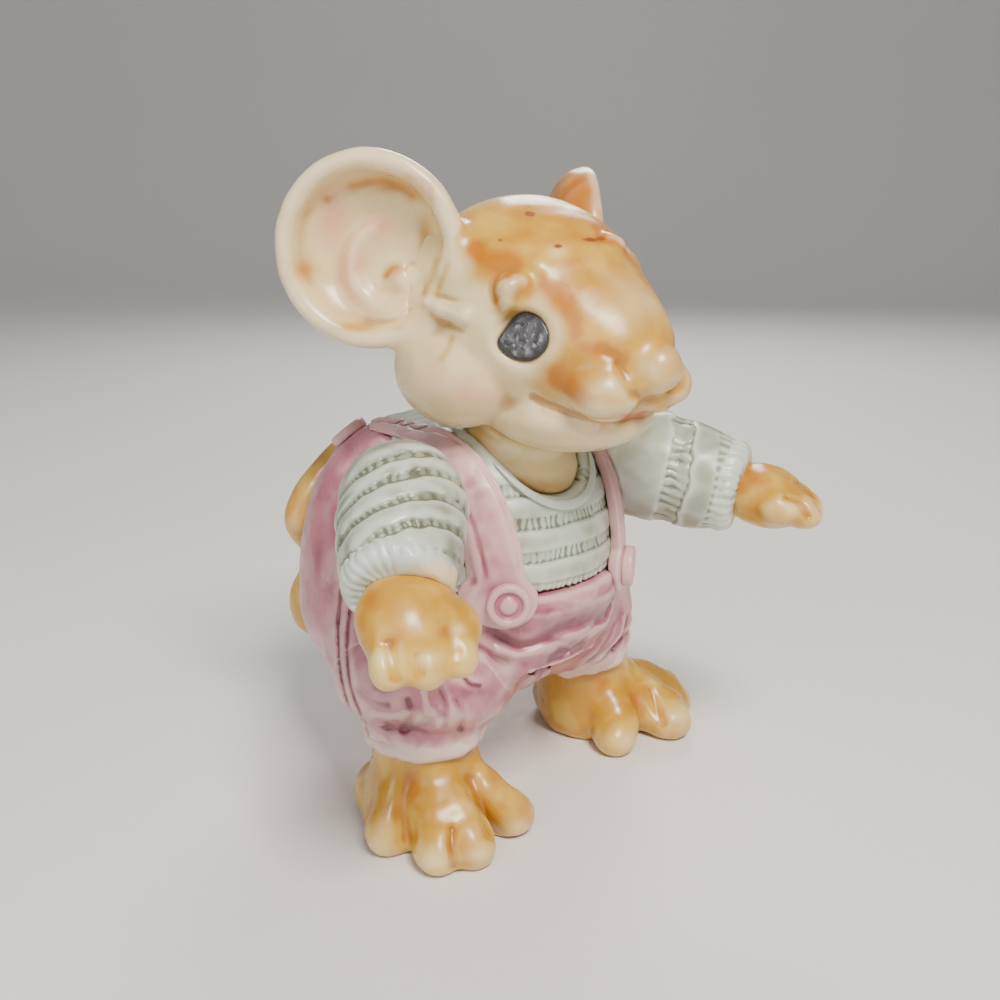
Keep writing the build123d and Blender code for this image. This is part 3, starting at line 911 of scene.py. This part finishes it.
def pixel_ray(pixel, height):
    """The place at a height that the photograph's camera sees at a pixel."""
    right, up, back = camera_axes()
    way = (pixel[0] - PICTURE / 2) * right - (pixel[1] - PICTURE / 2) * up - FOCAL_PIXELS * back
    return CAMERA_PLACE + way * (height - CAMERA_PLACE[2]) / way[2]


def foot_sinews(side):
    """The ridges that run from the ankle down to each toe."""
    ankle = node_middle("hem_" + side)
    for pixel in TOE_PIXELS[side]:
        toe = pixel_ray(pixel, TOE_HEIGHT)
        start = np.array((ankle[0], ankle[1], SINEW_TOP)) + SINEW_START * (toe - ankle) * (1, 1, 0)
        bend = start + SINEW_BEND * (toe - start)
        bend[2] = SINEW_TOP + SINEW_DROP * (TOE_HEIGHT - SINEW_TOP)
        yield (start, bend, bend + SINEW_END * (toe - bend)), SINEW_RADII


# Jumper: the heights of its stitched bands, half their width, their stitches' pitch and the chest's radius
BAND_LEVELS = (40.9, 37.3, 33.7, 30.2)
BAND_HALF = 0.62
TICK_PITCH = 0.95
CHEST_RADIUS = 13.5
# Darker spots on the knit
KNIT_DARK_SPOTS = [
    (340, 540, 12, 46), (420, 470, 8, 14), (432, 492, 9, 16), (508, 462, 12, 7), (458, 560, 16, 30),
    (345, 560, 10, 40), (395, 447, 24, 8), (690, 470, 12, 22), (420, 545, 10, 30),
]


def stitched_band(offset, along, wave, half, pitch):
    """How deep a stitched band is sunk, from the distance to its middle line and the length along it."""
    inside = 1 - flat_step(np.abs(offset), half - 0.15, half + 0.2)
    line = bell(offset + half, 0.22)
    ridge = ticks(along + 0.5 * wave, pitch)
    worn = 0.35 + 0.65 * flat_step(wave, -0.5, 0.3)
    return inside * (0.16 + worn * (0.10 - 0.20 * ridge)) + 0.16 * line


def sculpt_jumper(skin):
    """Stitched bands round the chest."""
    x, y, z = skin.points.T
    along = np.arctan2(x - MIDDLE, FIGURE[1] - y) * CHEST_RADIUS
    wave = skin.wobble(3.0)
    depth = 0
    for level in BAND_LEVELS:
        offset = z - level - 0.15 * skin.wobble(9.0, level)
        depth = depth + stitched_band(offset, along, wave, BAND_HALF, TICK_PITCH)
        depth = depth + 0.16 * bell(offset, 1.5)
    return depth + 0.04 * wave


def paint_jumper(skin):
    """Painted shade on the sides and the arms, and darker spots."""
    # Painted shade: the sides and arms are darker than the lit front
    side = flat_step(np.abs(skin.points[:, 0] - MIDDLE), 8.0, 16.0)
    return {"wash": 0.45 * side + 0.7 * skin.blots(KNIT_DARK_SPOTS)}


def make_jumper():
    """The knitted front and back of the jumper."""
    block = Block("jumper", voxel=FINE_VOXEL)
    block.smooth(0.22)
    block.press(sculpt_jumper)
    make_piece("knitted_jumper", block, KNIT, paint_jumper)


def make_collar():
    """The rolled rib round the neckline."""
    block = Block("collar", voxel=FINE_VOXEL)
    block.smooth(0.45)
    block.field -= 0.12
    make_piece("rolled_neckline", block, KNIT, paint_jumper)


def arm_axes(side):
    """A point on the arm's middle line at the cuff, its direction and two directions square to it."""
    cuff, hand = node_middle("cuff_" + side), node_middle("hand_" + side)
    way = (hand - cuff) / np.linalg.norm(hand - cuff)
    level = np.cross(way, (0, 0, 1))
    level /= np.linalg.norm(level)
    return cuff, way, level, np.cross(level, way)


# Sleeves: how far up the arm from the cuff their stitched bands lie, half their width, the pitch of their
# stitches, the length and pitch of the ribs at the cuff, and the radius of the arm
SLEEVE_BANDS = {"right": (3.2, 6.3, 9.3, 12.2), "left": (7.4,)}
SLEEVE_BAND_HALF = {"right": 0.42, "left": 1.2}
SLEEVE_TICKS = {"right": 1.0, "left": 1.5}
RIB_LENGTH = {"right": 0.6, "left": 3.2}
RIB_PITCH = 1.25
SLEEVE_RADIUS = 5.6


def arm_place(skin, side):
    """How far points are up the arm from the cuff, and how far round it."""
    cuff, way, level, up = arm_axes(side)
    away = skin.points - cuff
    return -(away @ way), np.arctan2(away @ level, away @ up) * SLEEVE_RADIUS


def make_sleeve(side):
    """A knitted sleeve of smooth rolls with stitched bands between them."""
    rib_half = RIB_LENGTH[side] / 2

    def sculpt(skin):
        up_arm, round_arm = arm_place(skin, side)
        wave = skin.wobble(4.0)
        depth = 0.06 * wave
        for place in SLEEVE_BANDS[side]:
            offset = up_arm - place - 0.3 * wave
            depth += stitched_band(offset, round_arm, wave, SLEEVE_BAND_HALF[side], SLEEVE_TICKS[side])
            depth += 0.24 * bell(offset, 1.3)
        ribs = 1 - flat_step(np.abs(up_arm - rib_half), rib_half - 0.3, rib_half)
        return depth + 0.2 * ribs * (1 - ticks(round_arm + 0.3 * wave, RIB_PITCH))

    block = Block("sleeve_" + side, voxel=FINE_VOXEL)
    block.smooth(0.3)
    block.press(sculpt)
    make_piece("knitted_sleeve_" + side, block, KNIT, paint_jumper)


def make_cuff(side):
    """The flared edge of a sleeve."""
    def sculpt(skin):
        up_arm, round_arm = arm_place(skin, side)
        ribs = 1 - ticks(round_arm + 0.2 * skin.wobble(3.0), RIB_PITCH)
        return 0.12 * ribs * flat_step(up_arm, -0.6, 0.2) + 0.12 * skin.wobble(3.4)

    def paint(skin):
        up_arm, round_arm = arm_place(skin, side)
        rim = 1 - flat_step(up_arm + 0.2 * skin.wobble(3.0), -1.5, -0.4)
        return {"pale": (0.85 if side == "right" else 0.5) * rim}

    block = Block("cuff_" + side, margin=2.6, voxel=FINE_VOXEL)
    block.smooth(0.3)
    block.field -= 0.2
    block.meet("sleeve_" + side, 1.4, 0.9)
    block.press(sculpt)
    make_piece("ribbed_cuff_" + side, block, KNIT, paint)


# Dungarees: seams and folds in the photograph's pixels
SEAMS = [
    [(341, 590), (338, 630), (342, 680), (352, 714), (362, 732)],
    [(352, 596), (347, 640), (350, 684), (364, 722), (368, 734)],
    [(548, 666), (554, 656), (566, 650), (578, 652)],
    [(452, 674), (462, 676), (470, 684), (480, 686)],
]
# Folds: a route, a width in millimetres and a depth, which is negative where the cloth stands up
FOLDS = [
    ([(490, 630), (508, 640), (530, 642), (556, 632), (584, 618)], 1.5, 0.42),
    ([(500, 650), (520, 655), (546, 648), (572, 640), (600, 622)], 0.9, -0.42),
    ([(536, 666), (548, 664), (560, 652)], 0.9, 0.28),
    ([(560, 648), (580, 640), (604, 626)], 1.0, 0.36),
    ([(546, 676), (572, 672), (600, 656)], 1.2, -0.26),
    ([(552, 660), (564, 658), (576, 664)], 0.9, 0.30),
    ([(524, 616), (548, 616), (574, 608), (602, 592)], 1.0, -0.30),
    ([(470, 640), (488, 652), (504, 662)], 1.0, 0.34),
    ([(454, 660), (468, 654), (482, 656)], 0.9, -0.34),
    ([(534, 664), (532, 682), (524, 704), (508, 724)], 0.9, -0.30),
    ([(516, 686), (512, 698), (505, 712)], 1.3, 0.20),
    ([(408, 700), (412, 714), (404, 730)], 0.7, 0.34),
    ([(424, 692), (428, 708), (440, 722)], 0.7, -0.30),
    ([(440, 690), (446, 706), (444, 724)], 0.5, 0.22),
    ([(456, 700), (462, 714), (460, 728)], 0.5, 0.18),
    ([(374, 714), (392, 716), (412, 712)], 0.6, -0.30),
    ([(388, 726), (404, 727), (424, 724), (440, 716)], 0.8, 0.30),
    ([(360, 690), (372, 700), (388, 704)], 0.7, 0.18),
]
FOLD_LIMIT = 0.5
CLOTH_SPOTS = [
    (478, 655, 13, 7), (506, 700, 9, 14), (470, 692, 30, 8), (400, 722, 26, 8), (556, 640, 34, 7),
    (330, 585, 10, 20), (415, 590, 12, 8), (362, 470, 12, 34), (336, 510, 9, 30), (562, 660, 12, 7),
    (545, 612, 34, 6), (318, 560, 8, 30), (380, 690, 12, 8), (430, 684, 10, 12), (560, 675, 24, 6),
    (600, 600, 8, 20), (432, 450, 10, 14), (470, 640, 10, 10), (520, 630, 18, 6), (474, 500, 9, 34),
    (484, 568, 10, 26), (450, 462, 7, 16), (352, 448, 12, 12),
]
CLOTH_SHEEN = [(430, 720, 40, 8), (505, 668, 12, 10), (460, 716, 20, 8), (598, 640, 10, 26)]


def sculpt_cloth(skin):
    """Seams and folds, the same on the body and on the legs."""
    depth = 0.34 * skin.strokes(SEAMS, 0.30) + skin.creases(FOLDS)
    uneven = 0.10 * skin.wobble(6.5) + 0.03 * skin.wobble(2.6, 1.0)
    return np.clip(depth, -FOLD_LIMIT, FOLD_LIMIT) + uneven


def paint_cloth(skin):
    """Mauve in loose spots, painted shade in the sunk folds, and a painted sheen."""
    wash = 0.85 * skin.blots(CLOTH_SPOTS)
    # Painted shade along the folds that sink
    for line, width, deep in FOLDS:
        wash = np.maximum(wash, 1.3 * max(deep, 0) * skin.stroke(line, 1.2 * width))
    return {"wash": wash, "pale": 0.5 * skin.blots(CLOTH_SHEEN)}


def make_dungarees():
    """The body of the dungarees, drawn up to the trouser legs."""
    block = Block("dungarees", margin=3.0)
    block.smooth(0.3)
    for side in ("right", "left"):
        block.meet("trouser_leg_" + side, 3.0, 2.1)
    block.press(sculpt_cloth)
    make_piece("dungarees_body", block, CLOTH, paint_cloth)


# The gathered cloth that closes the outer side of a leg above its hem: how far it lies from the hem's middle
# and above it, its radius, how far round it goes to each side, and in how many steps
GATHER_REACH = 4.8
GATHER_RISE = 1.9
GATHER_RADIUS = 1.6
GATHER_TURN = 1.9
GATHER_STEPS = 15


def make_leg(side):
    """A bloomer leg, gathered towards its hem."""
    middle = node_middle("hem_" + side)

    def sculpt(skin):
        away = skin.points - middle
        angle = np.arctan2(away[:, 1], away[:, 0])
        gather = 1 - flat_step(away[:, 2], 1.0, 7.0)
        pleats = np.cos(11 * angle + 1.5 * skin.wobble(7.0))
        return sculpt_cloth(skin) + 0.12 * gather * pleats

    def paint(skin):
        masks = paint_cloth(skin)
        low = 1 - flat_step(skin.points[:, 2] - middle[2] + 0.5 * skin.wobble(3.0), 0.6, 2.2)
        masks["pale"] = np.maximum(masks["pale"], 0.7 * low)
        return masks

    block = Block("trouser_leg_" + side, margin=2.8)
    block.smooth(0.3)
    block.meet("hem_" + side, 3.0, 2.2)
    block.meet("dungarees", 2.0, 1.2)
    ends = np.linspace(-1, 1, GATHER_STEPS)
    outward = 0 if side == "left" else pi
    ring = [(GATHER_REACH * cos(outward + turn), GATHER_REACH * sin(outward + turn), GATHER_RISE)
            for turn in GATHER_TURN * ends]
    block.tube(middle + ring, GATHER_RADIUS * np.cos(0.9 * ends), 1.2)
    block.press(sculpt)
    make_piece("bloomer_leg_" + side, block, CLOTH, paint)


def make_hem(side):
    """The uneven rolled edge of a bloomer leg."""
    def sculpt(skin):
        return 0.18 * skin.wobble(4.2, 1.0) + 0.05 * skin.wobble(1.8)

    def paint(skin):
        whole = np.ones(len(skin.points))
        return {"wash": 0.35 * flat_step(skin.wobble(5.0), 0.0, 0.8), "pale": 0.7 * whole}

    block = Block("hem_" + side, margin=2.6)
    block.smooth(0.35)
    block.field -= 0.25
    block.press(sculpt)
    make_piece("bloomer_hem_" + side, block, CLOTH, paint)


# Straps: how far from the middle the front band starts and ends, and the heights of these, as in the part's
# source; how far from its middle line a stitched edge lies, and the top of its tab
STRAP_FOOT = 9.2
STRAP_TOP = 11.0
STRAP_LOW = 29.5
STRAP_HIGH = 52.0
STRAP_EDGE = 1.5
TAB_TOP = 33.0


def sculpt_strap(skin):
    """A stitched line along each edge of a strap."""
    x, y, z = skin.points.T
    centre = STRAP_FOOT + (STRAP_TOP - STRAP_FOOT) * (z - STRAP_LOW) / (STRAP_HIGH - STRAP_LOW)
    offset = np.abs(np.abs(x - MIDDLE) - centre)
    line = bell(offset - STRAP_EDGE, 0.24) * flat_step(z, TAB_TOP - 1, TAB_TOP + 1)
    return 0.16 * line + 0.05 * skin.wobble(3.0)


def make_strap(side):
    """A shoulder strap with the rounded tab that carries its button."""
    block = Block("strap_" + side, voxel=FINE_VOXEL)
    block.smooth(0.2)
    block.field -= 0.06
    block.press(sculpt_strap)
    make_piece("shoulder_strap_" + side, block, CLOTH, paint_cloth)


def make_button(place, side):
    """A rimmed button with softened edges."""
    block = Block(f"button_{place}_{side}", voxel=FINE_VOXEL)
    block.smooth(0.14)
    make_piece(f"{place}_button_{side}", block, CLOTH, paint_cloth)


def make_pieces():
    """Every piece of the figurine."""
    make_head()
    make_jumper()
    make_collar()
    make_dungarees()
    make_bare("bare_chest", "neck", 0.4, paint=chest_marks)
    make_bare("curled_tail", "tail", 0.3)
    for side in ("right", "left"):
        make_eye(side)
        make_ear(side)
        make_sleeve(side)
        make_cuff(side)
        make_leg(side)
        make_bare("bare_foot_" + side, "foot_" + side, 0.7, 0.1, foot_sinews(side))
        make_bare("open_hand_" + side, "hand_" + side, 0.65, 0.15)
        make_hem(side)
        make_strap(side)
        for place in ("front", "back"):
            make_button(place, side)


def make_light(name, place, power, size, colour):
    """A soft square light that looks at the figure."""
    light = bpy.data.lights.new(name, "AREA")
    light.energy = power
    light.size = size
    light.color = colour
    lamp = bpy.data.objects.new(name, light)
    lamp.location = place
    lamp.rotation_euler = (Vector((0, 0, 0.04)) - Vector(place)).to_track_quat("-Z", "Y").to_euler()
    bpy.context.scene.collection.objects.link(lamp)


def make_stage():
    """A pale floor that sweeps up behind the figure, and soft studio lights."""
    half, level, bend, top, steps = 1.5, 0.55, 0.35, 1.6, 12
    turns = [pi / 2 * step / steps for step in range(steps + 1)]
    arc = [(level + bend * sin(turn), bend * (1 - cos(turn))) for turn in turns]
    _, _, back = camera_axes()
    away = np.array((-back[0], -back[1])) / np.hypot(back[0], back[1])
    side = np.array((-away[1], away[0]))
    points = [(*(away * along + side * across), up)
              for along, up in [(-half, 0.0), *arc, (level + bend, top)] for across in (-half, half)]
    faces = [(i, i + 2, i + 3, i + 1) for i in range(0, len(points) - 2, 2)]
    mesh = bpy.data.meshes.new("floor")
    mesh.from_pydata(points, [], faces)
    mesh.polygons.foreach_set("use_smooth", np.ones(len(mesh.polygons), bool))
    floor = bpy.data.objects.new("floor", mesh)
    bpy.context.scene.collection.objects.link(floor)
    mesh.materials.append(make_floor_paint())
    world = bpy.data.worlds.new("studio")
    bpy.context.scene.world = world
    world.use_nodes = True
    sky = world.node_tree.nodes["Background"].inputs
    sky["Color"].default_value = (0.94, 0.96, 1.0, 1)
    sky["Strength"].default_value = 0.25
    make_light("key", (-0.10, -0.26, 0.38), 3.1, 0.14, (1.0, 0.94, 0.86))
    make_light("fill", (-0.40, -0.12, 0.20), 0.7, 0.30, (0.9, 0.95, 1.0))
    make_light("rim", (0.30, 0.26, 0.30), 1.1, 0.18, (1.0, 0.97, 0.93))


make_pieces()
make_stage()
make_camera()
